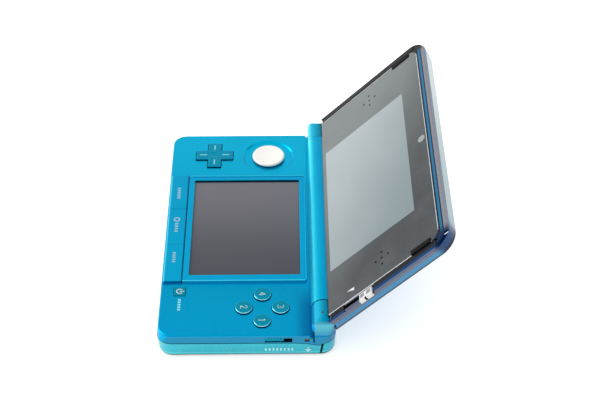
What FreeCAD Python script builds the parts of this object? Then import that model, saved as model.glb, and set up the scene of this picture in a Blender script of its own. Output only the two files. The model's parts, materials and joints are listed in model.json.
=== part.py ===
"""Clamshell handheld game with two screens: one STEP file per separate physical piece.

Frame: X to the player's right, Y away from the player towards the hinge, Z up.
The origin is the middle of the underside.  Millimetres throughout.
The lid is drawn in its own axes (x, s, n): s runs from the hinge axis to the lid's
outer end, n points out of the screen.  on_lid() then leans it back to its open angle.
"""
import FreeCAD, Part

import math
import os

V = FreeCAD.Vector
X_AXIS = V(1, 0, 0)
Y_AXIS = V(0, 1, 0)
Z_AXIS = V(0, 0, 1)

# ---------------------------------------------------------------- driving dimensions
# base
WIDE = 66.9            # half width where the two base shells meet
WIDE_Z = 8.0
NARROW_DECK = 65.9     # half width at the deck
NARROW_FOOT = 66.1     # half width at the underside
FRONT_Y = -36.8
BACK_Y = 37.2
DRAFT_Y = 0.6          # how far the front edge leans in above and below the seam
DECK_Z = 11.7
WALL = 1.2
CORNER = 6.0
SEAM_GAP = 0.35
DECK_UNDER = DECK_Z - WALL

# hinge
HINGE_Y = 32.1
HINGE_Z = 15.45
BARREL_R = 5.05
BARREL_HALF = 53.95
EAR_IN = 54.3          # inner face of each base knuckle
EAR_R = 4.9
EAR_OUT = 62.0         # the knuckle's outer end starts to dome over here
EAR_SIDE = 66.8
EAR_GAP = 0.3          # between a knuckle and the lid's sides
EAR_FOOT_Y = 27.8
LEDGE_Y = 26.4         # the deck drops to a ledge under the barrel here
LEDGE_Z = 10.1
PIN_R = 1.7
HINGE_UNIT_R = 2.6
RUNNING = 0.06         # radial clearance of a running fit
PIN_IN = 44.5

# lid
OPEN_ANGLE = 134.3     # from shut to the drawn pose
HINGE_S = -0.63        # the hinge axis in the lid's own axes
HINGE_N = 0.36
LID_FACE_N = 2.5
LID_SEAM_N = 1.2
LID_BACK_N = -5.3
LID_HALF = 67.4
LID_BACK_HALF = 64.4
LID_END_S = 69.3
LID_BACK_END_S = 67.4
LID_SIDE_S = 1.5       # hinge end of the lid's two sides
LID_BRIDGE_S = 7.2     # the shell's wall behind the barrel reaches to here
LID_HOLLOW_S = 6.4
PANEL_HALF = 63.1
PANEL_END_S = 64.6
GROOVE_X = (PANEL_HALF, 66.1)   # rubber strip beside the panel
GROOVE_S = 62.2
GROOVE_N = 1.95
PANEL_N0 = 1.65
PANEL_N1 = 2.45
CAMERA_S = 61.7
SPEAKER = (52.5, 34.8)
BUMPER_S = (50.2, 60.4)
BUMPER_X = (60.95, 63.05)
SLIDER_S = (21.0, 29.0)
SLIDER_TRAVEL = 8.0

# lower screen and its raised frame
FRAME_HALF = 34.8
FRAME_Y = (-27.4, 25.7)
FRAME_TOP = 12.9
WINDOW_HALF = 31.3
WINDOW_Y = (-24.8, 22.9)
STRIP_Y = (-35.6, -27.55)
STRIP_SPLIT = 11.7     # half width of the middle strip key

# controls
DPAD = (-50.5, -16.5)
DPAD_SPAN = 17.2
DPAD_ARM = 6.2
DPAD_TOP = 12.5
DPAD_PIVOT_Z = 8.9
PAD = (-49.9, 8.8)
PAD_CAP_R = 7.5
PAD_RING_R = 11.9
BUTTONS = (50.2, 6.8)
BUTTON_STEP = 7.7
BUTTON_R = 3.65
BUTTON_TOP = 12.55
POWER = (40.2, -28.2)
POWER_SIDE = 5.0
STRIP_LEG_X = (-22.2, 0.0, 20.2)
STRIP_LEG_Y = -31.7
SWITCH_Y = (7.9, 19.2)
SWITCH_KNOB = (7.95, 15.65)
SWITCH_Z = (8.5, 10.25)
RIDGES = 5
VOLUME_Y = (-24.0, -11.0)
VOLUME_KNOB = (-20.4, -14.6)
SHOULDER_X = 46.0
SHOULDER_Y = 31.9
SHOULDER_Z = (1.6, 7.2)
SHOULDER_PIN = (48.4, 34.3)
SHOULDER_GAP = 0.9
SIDE_LAMP_Y = (24.35, 26.2)
SIDE_LAMP_Z = (8.8, 9.9)
FRONT_LAMP_X = (28.1, 31.5)

# inside the base
BOARD_Z = (6.6, 7.6)
CARD_HALF = 17.0
CARD_Z = (1.85, 6.15)
CARD_Y = (1.5, 36.3)
STYLUS_X = -28.0
STYLUS_Z = 3.9
STYLUS_R = 2.2
JACK = (-44.0, 3.9)
DOOR_Y = (3.0, 27.0)
DOOR_Z = (2.45, 5.7)
CONTACT_X = (30.7, 32.3)
SCREWS = ((-60.0, -31.0), (60.0, -31.0), (-34.7, 31.6), (42.4, 31.6))


# ---------------------------------------------------------------- small helpers
def box(x0, x1, y0, y1, z0, z1):
    return Part.makeBox(x1 - x0, y1 - y0, z1 - z0, V(x0, y0, z0))


def rod(radius, start, end):
    """A cylinder from one point to another."""
    a = V(*start)
    along = V(*end) - a
    return Part.makeCylinder(radius, along.Length, a, along)


def disc(radius, x, y, z0, z1):
    return rod(radius, (x, y, z0), (x, y, z1))


def outline(half, y0, y1, r0, r1, z):
    """A rectangle centred on x = 0 with corner radius r0 at y0 and r1 at y1; 0 leaves a corner sharp."""
    def corner(cx, cy, r, start):
        turns = [math.radians(start + k) for k in (0, 45, 90)]
        return [V(cx + r * math.cos(t), cy + r * math.sin(t), z) for t in turns]
    runs = [corner(half - r0, y0 + r0, r0, -90), corner(half - r1, y1 - r1, r1, 0),
            corner(-half + r1, y1 - r1, r1, 90), corner(-half + r0, y0 + r0, r0, 180)]
    edges = []
    for k, pts in enumerate(runs):
        if (pts[0] - pts[2]).Length > 0.001:
            edges.append(Part.Arc(*pts).toShape())
        edges.append(Part.LineSegment(pts[2], runs[(k + 1) % 4][0]).toShape())
    return Part.Wire(edges)


def plate(half, y0, y1, z0, z1, r0, r1):
    """A flat plate with rounded corners."""
    return Part.Face(outline(half, y0, y1, r0, r1, z0)).extrude(V(0, 0, z1 - z0))


def prism(points, along):
    """A closed polygon pushed along a vector."""
    pts = [V(*p) for p in points]
    return Part.Face(Part.makePolygon(pts + pts[:1])).extrude(V(*along))


def fuse(shapes):
    return shapes[0].multiFuse(shapes[1:]).removeSplitter()


def cut(shape, tools):
    return shape.cut(tools).removeSplitter()


def soften(shape, radius, chosen):
    """Round the edges that chosen() picks."""
    return shape.makeFillet(radius, [e for e in shape.Edges if chosen(e)])


def top_edges(z):
    return lambda e: e.BoundBox.ZMin > z - 0.01 and e.BoundBox.ZMax < z + 0.01


def mirrored(shape):
    return shape.mirror(V(0, 0, 0), X_AXIS)


def on_lid(shape):
    """Move a shape from the lid's own axes to its open place on the base."""
    out = shape.copy()
    out.translate(V(0, -HINGE_S, -HINGE_N))
    out.rotate(V(0, 0, 0), X_AXIS, 180.0 - OPEN_ANGLE)
    out.translate(V(0, HINGE_Y, HINGE_Z))
    return out


def hinge_rod(radius, x0, x1):
    """A cylinder round the hinge axis, in the lid's own axes."""
    return rod(radius, (x0, HINGE_S, HINGE_N), (x1, HINGE_S, HINGE_N))


def knuckle_room(extra):
    """The two spaces that the base's knuckles take out of the lid."""
    return [hinge_rod(EAR_R + EAR_GAP + extra, side * 53.96, side * 72) for side in (-1, 1)]


def save(name, shape):
    shape.exportStep("parts/" + name + ".step")


# ---------------------------------------------------------------- base shells
def base_outer():
    """The closed outer form of the base, without ears."""
    foot = outline(NARROW_FOOT, FRONT_Y + DRAFT_Y, BACK_Y - 0.3, CORNER, CORNER, 0)
    seam = outline(WIDE, FRONT_Y, BACK_Y, CORNER + 0.5, CORNER + 0.5, WIDE_Z)
    deck = outline(NARROW_DECK, FRONT_Y + DRAFT_Y, BACK_Y - 0.3, CORNER, CORNER, DECK_Z)
    low = Part.makeLoft([foot, seam], True, True)
    low = soften(low, 1.6, top_edges(0))
    high = Part.makeLoft([seam, deck], True, True)
    high = soften(high, 0.6, top_edges(DECK_Z))
    return low.fuse(high)


def above_seam(lift):
    """Everything above the seam between the two base shells, which steps down under the ears."""
    line = [(-45, 8.3 + lift), (20.0, 8.2 + lift), (25.0, 7.8 + lift), (29.0, 6.8 + lift), (45, 6.3 + lift),
            (45, 40), (-45, 40)]
    return prism([(-90, y, z) for y, z in line], (180, 0, 0))


def base_cavity():
    front = plate(WIDE - 2.2, FRONT_Y + 1.9, LEDGE_Y - 1.0, WALL, DECK_UNDER, 4.8, 1.0)
    rear = plate(WIDE - 2.2, LEDGE_Y - 1.0 - 3.0, BACK_Y - 1.6, WALL, LEDGE_Z - WALL, 1.0, 4.8)
    return front.fuse(rear)


def ear_block():
    """The right-hand knuckle, domed at its outer end, and the cheek that carries it."""
    def rim(angle):
        return V(0, HINGE_Y + EAR_R * math.cos(angle), HINGE_Z + EAR_R * math.sin(angle))
    foot = (EAR_FOOT_Y - HINGE_Y, DECK_Z - HINGE_Z)
    turn = math.atan2(foot[1], foot[0]) % (2 * math.pi) - math.acos(EAR_R / math.hypot(*foot))
    touch, under = rim(turn), rim(math.radians(-50))
    corners = [under, V(0, BACK_Y - 0.3, 9.0), V(0, BACK_Y - 0.3, 8.0), V(0, EAR_FOOT_Y, 8.0),
               V(0, EAR_FOOT_Y, DECK_Z), touch]
    edges = [Part.LineSegment(a, b).toShape() for a, b in zip(corners, corners[1:])]
    edges.append(Part.Arc(touch, rim(math.pi / 2), under).toShape())
    side_view = Part.Face(Part.Wire(edges)).extrude(V(80, 0, 0))
    crown = HINGE_Z + EAR_R + 0.1
    dome = Part.Arc(V(EAR_SIDE - 0.4, 20, 16.6), V(65.4, 20, 19.2), V(EAR_OUT + 0.2, 20, crown)).toShape()
    corners = [V(EAR_OUT + 0.2, 20, crown), V(EAR_IN, 20, crown), V(EAR_IN, 20, 8.0), V(EAR_SIDE, 20, 8.0),
               V(EAR_SIDE - 0.4, 20, 16.6)]
    edges = [Part.LineSegment(a, b).toShape() for a, b in zip(corners, corners[1:])]
    front_view = Part.Face(Part.Wire([dome] + edges)).extrude(V(0, 25, 0))
    low = outline(WIDE, FRONT_Y, BACK_Y, CORNER + 0.5, CORNER + 0.5, 7.9)
    high = outline(WIDE - 0.3, FRONT_Y, BACK_Y, CORNER + 0.5, 1.6, 21.0)
    block = side_view.common(front_view).common(Part.makeLoft([low, high], True, True))
    front_corner = prism([(64.2, 26.9, 7.5), (69.0, 26.9, 7.5), (69.0, 29.8, 7.5)], (0, 0, 14))
    return block.cut(front_corner)


def shoulder_room(extra_y, extra):
    """The space a right-hand shoulder button takes out of both base shells."""
    z0, z1 = SHOULDER_Z
    side = [(60.0, SHOULDER_Y - extra_y - 0.5, z0 - extra), (60.0, SHOULDER_Y - extra_y + 0.3, z1 + extra),
            (60.0, 45, z1 + extra), (60.0, 45, z0 - extra)]
    wrap = prism(side, (20, 0, 0))
    rear = box(SHOULDER_X - extra, 61, SHOULDER_Y - extra_y, 45, z0 - extra, z1 + extra)
    return fuse([wrap, rear])


def pad_seat():
    """A shallow dish round the slide pad, as a cutting tool."""
    x, y = PAD
    profile = [(0, DECK_Z + 1), (PAD_RING_R, DECK_Z + 1), (PAD_RING_R, DECK_Z), (PAD_RING_R - 0.7, DECK_Z - 0.7),
               (6.2, DECK_Z - 0.85), (6.2, 9.5), (0, 9.5)]
    face = Part.Face(Part.makePolygon([V(x + r, y, z) for r, z in profile + profile[:1]]))
    return face.revolve(V(x, y, 0), Z_AXIS, 360)


def dpad_cross(span, arm, z0, z1):
    x, y = DPAD
    h, w = span / 2, arm / 2
    return fuse([box(x - h, x + h, y - w, y + w, z0, z1), box(x - w, x + w, y - h, y + h, z0, z1)])


def button_places():
    x, y = BUTTONS
    step = BUTTON_STEP
    return {"right": (x + step, y), "left": (x - step, y), "front": (x, y - step), "rear": (x, y + step)}


def strip_spans():
    """Left, middle and right keys of the strip below the lower screen: low x and high x."""
    gap = 0.06
    return {"left": (-FRAME_HALF, -STRIP_SPLIT - gap), "middle": (-STRIP_SPLIT + gap, STRIP_SPLIT - gap),
            "right": (STRIP_SPLIT + gap, FRAME_HALF)}


def deck_openings():
    x, y = POWER
    half = POWER_SIDE / 2 + 0.15
    tools = [dpad_cross(DPAD_SPAN + 0.6, DPAD_ARM + 0.6, 9, 13), pad_seat(),
             box(x - half, x + half, y - half, y + half, 9, 13),
             box(-34.0, 34.0, -27.0, 25.2, 9, 13),
             box(-FRAME_HALF - 0.1, FRAME_HALF + 0.1, STRIP_Y[0] - 0.1, STRIP_Y[1] + 0.1, DECK_Z - 0.55, 13)]
    for px, py in button_places().values():
        tools.append(disc(BUTTON_R + 0.25, px, py, 9, 13))
    for lx in STRIP_LEG_X:
        tools.append(box(lx - 2.3, lx + 2.3, STRIP_LEG_Y - 1.8, STRIP_LEG_Y + 1.8, 9, 13))
    return tools


def side_openings():
    """Slots for the two side switches and the lamps, and the hinge bores."""
    z0, z1 = SWITCH_Z
    tools = [box(60, 70, SWITCH_Y[0], SWITCH_Y[1], z0, z1),
             box(-70, -60, VOLUME_Y[0], VOLUME_Y[1], z0 + 0.25, z1),
             box(60, 70, SIDE_LAMP_Y[0] - 0.1, SIDE_LAMP_Y[1] + 0.1,
                 SIDE_LAMP_Z[0] - 0.1, SIDE_LAMP_Z[1] + 0.1),
             rod(HINGE_UNIT_R + RUNNING, (EAR_IN - 1, HINGE_Y, HINGE_Z), (EAR_OUT - 1.5, HINGE_Y, HINGE_Z)),
             rod(PIN_R + RUNNING, (-EAR_IN + 1, HINGE_Y, HINGE_Z), (-EAR_OUT + 1.5, HINGE_Y, HINGE_Z)),
             knuckle_lamp(0.06)]
    return tools + [box(x - 0.1, x + 1.5, -40, -30, 8.9, 9.9) for x in FRONT_LAMP_X]


def rear_openings():
    """Holes through the back wall: game card, stylus, charging socket and infrared window."""
    holes = [box(-CARD_HALF - 0.1, CARD_HALF + 0.1, 30, 40, CARD_Z[0], CARD_Z[1]),
             rod(STYLUS_R + 0.15, (STYLUS_X, 30, STYLUS_Z), (STYLUS_X, 40, STYLUS_Z)),
             box(22.0, 30.0, 30, 40, 2.3, 5.3),
             box(33.6, 40.4, 30, 40, 2.5, 5.3)]
    return holes + [box(x - 0.05, x + 0.95, 36.8, 40, 2.5, 5.1) for x in CONTACT_X]


def mid_housing():
    """Deck, side walls, ears and screw bosses: the upper shell of the base."""
    body = base_outer().common(above_seam(0))
    body = body.cut(box(-EAR_IN, EAR_IN, LEDGE_Y, 45, LEDGE_Z, 30))
    trim = box(EAR_IN, 80, LEDGE_Y, 45, DECK_Z - 3.4, 30)
    body = body.cut([trim, mirrored(trim)])
    shelf = base_outer().common(box(-80, 80, LEDGE_Y - 0.01, EAR_FOOT_Y + 0.01, DECK_Z - 3.4, LEDGE_Z))
    ear = ear_block()
    body = body.cut(base_cavity())
    rim = shelf.cut(base_cavity())
    seat = disc(PAD_RING_R + 0.9, PAD[0], PAD[1], 10.1, DECK_UNDER + 0.01)
    bosses = []
    for x, y in SCREWS:
        roof = DECK_UNDER if y < LEDGE_Y else LEDGE_Z - WALL
        bosses.append(disc(2.0, x, y, 2.3, roof + 0.01))
    body = fuse([body, rim, ear, mirrored(ear), seat] + bosses)
    holes = [disc(0.85, x, y, 2, 7.6) for x, y in SCREWS]
    room = shoulder_room(SHOULDER_GAP, 0.25)
    tools = deck_openings() + side_openings() + rear_openings() + holes + [room, mirrored(room)]
    return cut(body, tools)


def bottom_cover():
    """The lower shell of the base, with counterbored screw holes."""
    body = base_outer().cut(above_seam(-SEAM_GAP))
    body = body.cut(base_cavity())
    body = fuse([body] + [disc(2.5, x, y, 0, 2.2) for x, y in SCREWS])
    tools = [disc(1.8, x, y, -1, 1.0) for x, y in SCREWS] + [disc(0.9, x, y, -1, 3) for x, y in SCREWS]
    room = shoulder_room(SHOULDER_GAP, 0.25)
    tools += rear_openings() + [room, mirrored(room)]
    tools.append(rod(2.7, (JACK[0], -40, JACK[1]), (JACK[0], -30, JACK[1])))
    tools.append(box(-70, -60, DOOR_Y[0] - 0.2, DOOR_Y[1] + 0.2, DOOR_Z[0] - 0.3, DOOR_Z[1] + 0.15))
    return cut(body, tools)


# ---------------------------------------------------------------- lower screen
def lower_screen_frame():
    """The raised border of the lower screen."""
    y0, y1 = FRAME_Y
    body = plate(FRAME_HALF, y0, y1, DECK_Z, FRAME_TOP, 0.4, 1.0)
    body = soften(body, 0.25, top_edges(FRAME_TOP))
    window = plate(WINDOW_HALF, WINDOW_Y[0], WINDOW_Y[1], 10, 14, 0.4, 0.4)
    under = box(-33.9, 33.9, -26.9, 25.0, DECK_Z - 1, 12.07)
    inset = FRAME_HALF - 1.1
    grooves = [box(-inset, inset + 0.3, y1 - 1.15, y1 - 0.85, FRAME_TOP - 0.2, 14),
               box(-inset, -inset + 0.3, y0 + 1.0, y1 - 0.85, FRAME_TOP - 0.2, 14)]
    return cut(body, [window, under] + grooves)


def touch_panel():
    return plate(33.6, -26.7, 24.8, 11.35, 12.02, 0.5, 0.5)


def lower_display():
    """Liquid crystal module under the touch panel, with its tin frame's edge."""
    glass = plate(32.6, -25.8, 23.9, 9.6, 11.28, 0.4, 0.4)
    tray = plate(33.1, -26.3, 24.4, 9.0, 10.4, 0.6, 0.6)
    return fuse([tray, glass])


def strip_key(name):
    x0, x1 = strip_spans()[name]
    y0, y1 = STRIP_Y
    leg_x = dict(zip(("left", "middle", "right"), STRIP_LEG_X))[name]
    cap = box(x0, x1, y0, y1, DECK_Z + 0.02, 12.82)
    cap = soften(cap, 0.25, lambda e: top_edges(12.82)(e) and e.BoundBox.YMax < y0 + 0.01)
    leg = box(leg_x - 2.0, leg_x + 2.0, STRIP_LEG_Y - 1.5, STRIP_LEG_Y + 1.5, 9.8, DECK_Z + 0.1)
    return fuse([cap, leg])


def strip_key_membrane():
    """Rubber sheet with one post under each strip key and one under the power key."""
    sheet = box(-26.0, 44.5, -33.9, -29.9, 7.65, 8.05)
    tail = box(37.5, 44.5, -33.9, -25.5, 7.65, 8.05)
    places = [(x, STRIP_LEG_Y) for x in STRIP_LEG_X] + [POWER]
    return fuse([sheet, tail] + [disc(1.2, x, y, 8.0, 9.15) for x, y in places])


def power_key():
    x, y = POWER
    h = POWER_SIDE / 2
    cap = box(x - h, x + h, y - h, y + h, 9.9, 12.0)
    cap = soften(cap, 0.25, top_edges(12.0))
    return fuse([cap, box(x - h - 0.6, x + h + 0.6, y - h - 0.6, y + h + 0.6, 9.9, 10.3)])


# ---------------------------------------------------------------- controls
def dpad():
    """The cross key: a flanged plus sign that rocks on a ball."""
    x, y = DPAD
    cross = dpad_cross(DPAD_SPAN, DPAD_ARM, 9.4, DPAD_TOP)
    cross = soften(cross, 0.35, top_edges(DPAD_TOP))
    cross = fuse([cross, disc(9.4, x, y, 9.4, 9.9)])
    dimple = Part.makeSphere(9.0, V(x, y, DPAD_TOP + 8.75))
    socket = Part.makeSphere(1.28, V(x, y, DPAD_PIVOT_Z))
    return cross.cut([dimple, socket])


def dpad_pivot():
    return Part.makeSphere(1.2, V(DPAD[0], DPAD[1], DPAD_PIVOT_Z))


def dpad_membrane():
    x, y = DPAD
    domes = [disc(1.8, x + 6.3 * a, y + 6.3 * b, 8.0, 8.75) for a, b in ((1, 0), (-1, 0), (0, 1), (0, -1))]
    sheet = disc(8.8, x, y, 7.65, 8.05)
    return fuse([sheet] + domes).cut(disc(1.7, x, y, 7, 9))


def face_button(place):
    x, y = place
    stem = disc(BUTTON_R, x, y, 9.9, BUTTON_TOP)
    stem = soften(stem, 0.45, top_edges(BUTTON_TOP))
    return fuse([stem, disc(BUTTON_R + 0.65, x, y, 9.9, 10.3)])


def face_button_membrane():
    """One rubber sheet with four contact domes."""
    parts = []
    for x, y in button_places().values():
        parts.append(disc(4.6, x, y, 7.65, 8.05))
        parts.append(Part.makeCone(2.8, 1.8, 0.8, V(x, y, 8.0)))
    x, y = BUTTONS
    parts.append(disc(6.0, x, y, 7.65, 8.05))
    return fuse(parts)


def slide_pad_cap():
    """Concave thumb cap on its stem."""
    x, y = PAD
    r = PAD_CAP_R
    low, high = 11.2, 12.75
    start, rim = V(x, y, high - 0.55), V(x + r - 0.9, y, high)
    dish = Part.Arc(start, V(x + (r - 0.9) / 2, y, high - 0.42), rim).toShape()
    lip = Part.Arc(rim, V(x + r - 0.25, y, high - 0.25), V(x + r, y, high - 0.9)).toShape()
    pts = [V(x + r, y, high - 0.9), V(x + r - 0.5, y, low), V(x + 2.2, y, low), V(x + 2.2, y, 8.3),
           V(x, y, 8.3), start]
    rest = [Part.LineSegment(a, b).toShape() for a, b in zip(pts, pts[1:])]
    face = Part.Face(Part.Wire([dish, lip] + rest))
    return face.revolve(V(x, y, 0), Z_AXIS, 360)


def slide_pad_skirt():
    x, y = PAD
    return disc(8.3, x, y, 9.4, 9.8).cut(disc(2.21, x, y, 9, 10))


def slide_pad_carriage():
    """Moves left and right in the housing; the stem runs along its slot."""
    x, y = PAD
    body = box(x - 5.5, x + 5.5, y - 10.0, y + 10.0, 8.2, 8.9)
    slot = box(x - 2.27, x + 2.27, y - 5.0, y + 5.0, 8, 9)
    return body.cut(slot)


def slide_pad_housing():
    x, y = PAD
    body = box(x - 12.6, x + 12.6, y - 12.6, y + 12.6, 7.65, 10.05)
    upper = box(x - 12.1, x + 12.1, y - 12.1, y + 12.1, 9.05, 11)
    lower = box(x - 12.1, x + 12.1, y - 10.08, y + 10.08, 8.1, 9.1)
    return body.cut([upper, lower])


def shoulder_button():
    """Right-hand shoulder button: wraps the rear corner and turns on an upright pin."""
    body = base_outer().common(shoulder_room(0, 0))
    hollow = plate(WIDE - 2.4, -20, BACK_Y - 2.0, 0, 12, 1.0, 4.5).common(box(51.0, 80, 20, 45, 0, 12))
    body = body.cut(hollow)
    x, y = SHOULDER_PIN
    z0, z1 = SHOULDER_Z
    body = fuse([body, disc(2.0, x, y, z0, z1)])
    return body.cut(disc(0.8 + RUNNING, x, y, 0, 12))


def shoulder_pins():
    x, y = SHOULDER_PIN
    pin = disc(0.8, x, y, 1.25, 8.6)
    return Part.makeCompound([pin, mirrored(pin)])


def shoulder_springs():
    """Two torsion springs, each drawn as three close coils over the pin."""
    x, y = SHOULDER_PIN
    coils = [Part.makeTorus(1.1, 0.14, V(x, y, 7.75 + 0.3 * k)) for k in range(3)]
    return Part.makeCompound(coils + [mirrored(c) for c in coils])


def side_knob(x_in, x_out, y0, y1, z0, z1):
    """A side switch: the knob in its slot, finger ridges, and a wider foot inside the wall."""
    knob = box(x_in, x_out, y0, y1, z0 + 0.12, z1 - 0.12)
    foot = box(x_in - 0.8, x_in, y0, y1, z0 - 0.4, z1 + 0.15)
    pitch = (y1 - y0) / (RIDGES + 1)
    ridges = [box(x_out - 0.1, x_out + 0.2, y0 + pitch * k - 0.2, y0 + pitch * k + 0.2, z0 + 0.3, z1 - 0.3)
              for k in range(1, RIDGES + 1)]
    return fuse([knob, foot] + ridges)


def wireless_switch():
    return side_knob(64.55, 66.3, SWITCH_KNOB[0], SWITCH_KNOB[1], SWITCH_Z[0], SWITCH_Z[1])


def volume_slider():
    knob = side_knob(64.55, 66.8, VOLUME_KNOB[0], VOLUME_KNOB[1], SWITCH_Z[0] + 0.25, SWITCH_Z[1])
    return mirrored(knob)


# ---------------------------------------------------------------- inside the base
def main_board():
    body = plate(63.4, -33.8, 25.0, BOARD_Z[0], BOARD_Z[1], 4.0, 2.0)
    tools = [disc(2.3, x, y, 6, 9) for x, y in SCREWS]
    return body.cut(tools)


def battery():
    body = box(-20.0, 32.0, -33.4, -1.6, 1.6, 6.2)
    return soften(body, 0.8, lambda e: abs(e.BoundBox.ZLength) < 0.01)


def battery_tray():
    body = box(-21.2, 33.2, -34.6, -0.4, 1.25, 6.5)
    return body.cut(box(-20.15, 32.15, -33.55, -1.45, 1.0, 6.3))


def card_slot():
    """Tin cage for the game card, open at the back."""
    x, (y0, y1), (z0, z1) = CARD_HALF, CARD_Y, CARD_Z
    body = box(-x - 0.6, x + 0.6, y0 - 0.8, y1 - 0.7, z0 - 0.4, z1 + 0.35)
    return body.cut(box(-x, x, y0, y1 + 3, z0, z1))


def memory_card_socket():
    body = box(-63.8, -38.0, 2.4, 28.0, 2.0, 5.6)
    return body.cut(box(-70, -40.0, 3.2, 27.2, 2.6, 5.0))


def memory_card_door():
    """Flap over the memory card socket, flush with the left side."""
    y0, y1 = DOOR_Y
    z0, z1 = DOOR_Z
    return base_outer().common(box(-70, -65.5, y0, y1, z0, z1))


def stylus_tunnel():
    tube = rod(STYLUS_R + 0.45, (STYLUS_X, -30.5, STYLUS_Z), (STYLUS_X, 35.5, STYLUS_Z))
    return tube.cut(rod(STYLUS_R + 0.1, (STYLUS_X, -29.9, STYLUS_Z), (STYLUS_X, 40, STYLUS_Z)))


def stylus_barrel():
    body = rod(STYLUS_R, (STYLUS_X, -8.0, STYLUS_Z), (STYLUS_X, 36.8, STYLUS_Z))
    body = soften(body, 0.5, lambda e: e.BoundBox.YMin > 36.0)
    return body.cut(rod(1.36, (STYLUS_X, -10, STYLUS_Z), (STYLUS_X, 22.0, STYLUS_Z)))


def stylus_tip():
    """Inner rod of the telescopic stylus, with its rounded nib."""
    shaft = rod(1.3, (STYLUS_X, -25.5, STYLUS_Z), (STYLUS_X, 18.0, STYLUS_Z))
    nib = Part.makeCone(0.55, 1.3, 3.0, V(STYLUS_X, -28.5, STYLUS_Z), Y_AXIS)
    point = Part.makeSphere(0.55, V(STYLUS_X, -28.5, STYLUS_Z))
    return fuse([shaft, nib, point])


def headphone_jack():
    x, z = JACK
    body = fuse([rod(2.6, (x, -36.4, z), (x, -33.0, z)), box(x - 3.2, x + 3.2, -34.8, -24.0, 1.3, 6.5)])
    return body.cut(rod(1.75, (x, -40, z), (x, -25.5, z)))


def charge_jack():
    body = box(22.1, 29.9, 29.0, 36.7, 2.4, 5.2)
    body = body.cut(box(22.9, 29.1, 31.0, 40, 2.9, 4.7))
    return fuse([body, box(24.0, 28.0, 30.5, 35.5, 3.6, 4.0)])


def charge_contacts():
    """Two plated pads for a charging cradle."""
    pads = [box(x, x + 0.9, 36.85, 37.05, 2.6, 5.0) for x in CONTACT_X]
    return Part.makeCompound(pads)


def ir_window():
    return box(33.75, 40.25, 36.1, 37.0, 2.65, 5.15)


def wireless_module():
    can = box(36.5, 58.0, -24.0, -8.0, 5.0, 6.58)
    return soften(can, 0.4, lambda e: e.BoundBox.ZMax < 5.01)


def knuckle_lamp(extra):
    """A pin-head lens on the right knuckle, facing up and a little forward."""
    lean = math.radians(6.0)
    out = V(0, -math.sin(lean), math.cos(lean))
    foot = V(61.3, HINGE_Y, HINGE_Z) + out * (EAR_R - 0.9)
    return Part.makeCylinder(0.5 + extra, 0.95, foot, out)


def status_lamps():
    """Wireless lamp on the right side, power and charge lamps in front, notice lamp on the knuckle."""
    side = box(64.8, 66.35, SIDE_LAMP_Y[0], SIDE_LAMP_Y[1], SIDE_LAMP_Z[0], SIDE_LAMP_Z[1])
    front = [box(x, x + 1.4, -36.45, -35.0, 9.0, 9.8) for x in FRONT_LAMP_X]
    return Part.makeCompound([side] + front + [knuckle_lamp(0)])


def case_screws():
    """Four countersunk screws up through the bottom cover."""
    screws = []
    for x, y in SCREWS:
        head = disc(1.7, x, y, 0.15, 0.95)
        driver = fuse([box(x - 1.0, x + 1.0, y - 0.22, y + 0.22, 0, 0.5),
                       box(x - 0.22, x + 0.22, y - 1.0, y + 1.0, 0, 0.5)])
        screws.append(fuse([head, disc(0.8, x, y, 0.9, 7.2)]).cut(driver))
    return Part.makeCompound(screws)


def hinge_unit():
    """Click hinge: its drum sits in the right knuckle and its shaft in the lid's barrel."""
    drum = rod(HINGE_UNIT_R, (EAR_IN + 0.1, HINGE_Y, HINGE_Z), (EAR_OUT - 1.6, HINGE_Y, HINGE_Z))
    shaft = rod(PIN_R, (PIN_IN + 0.6, HINGE_Y, HINGE_Z), (EAR_IN + 0.2, HINGE_Y, HINGE_Z))
    return fuse([drum, shaft])


def hinge_pin():
    return rod(PIN_R, (-EAR_OUT + 1.6, HINGE_Y, HINGE_Z), (-PIN_IN - 0.6, HINGE_Y, HINGE_Z))


# ---------------------------------------------------------------- lid, in its own axes
def lid_outer_shell():
    """The lid's back: sides lean in towards the flat back."""
    back = outline(LID_BACK_HALF, LID_SIDE_S, LID_BACK_END_S, 0, 7.6, LID_BACK_N)
    seam = outline(LID_HALF, LID_SIDE_S, LID_END_S, 0, 9.0, LID_SEAM_N)
    body = Part.makeLoft([back, seam], True, True)
    body = soften(body, 1.0, lambda e: top_edges(LID_BACK_N)(e) and e.BoundBox.YMax > LID_SIDE_S + 0.1)
    bridge = box(-53.7, 53.7, 0.5, LID_BRIDGE_S, LID_BACK_N, -1.0)
    bridge = soften(bridge, 0.8, lambda e: e.BoundBox.YMax < 0.51 and e.BoundBox.ZMax < LID_BACK_N + 0.01)
    body = fuse([body, bridge])
    low = outline(LID_BACK_HALF - 1.3, LID_HOLLOW_S, LID_BACK_END_S - 1.3, 0, 6.3, LID_BACK_N + WALL)
    high = outline(LID_HALF - 1.2, LID_HOLLOW_S, LID_END_S - 1.2, 0, 7.8, LID_SEAM_N + 0.01)
    hollow = Part.makeLoft([low, high], True, True)
    lenses = [disc(2.9, side * 17.5, CAMERA_S, -7, -3) for side in (-1, 1)]
    webroom = box(-53.95, 53.95, -1, 4.2, -3.5, 3)
    display_room = box(-40.6, 40.6, 4, LID_HOLLOW_S + 0.2, -2.2, 3)
    barrel_room = hinge_rod(BARREL_R + 0.03, -54, 54)
    return cut(body, [hollow, barrel_room, webroom, display_room] + lenses + knuckle_room(0))


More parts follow.
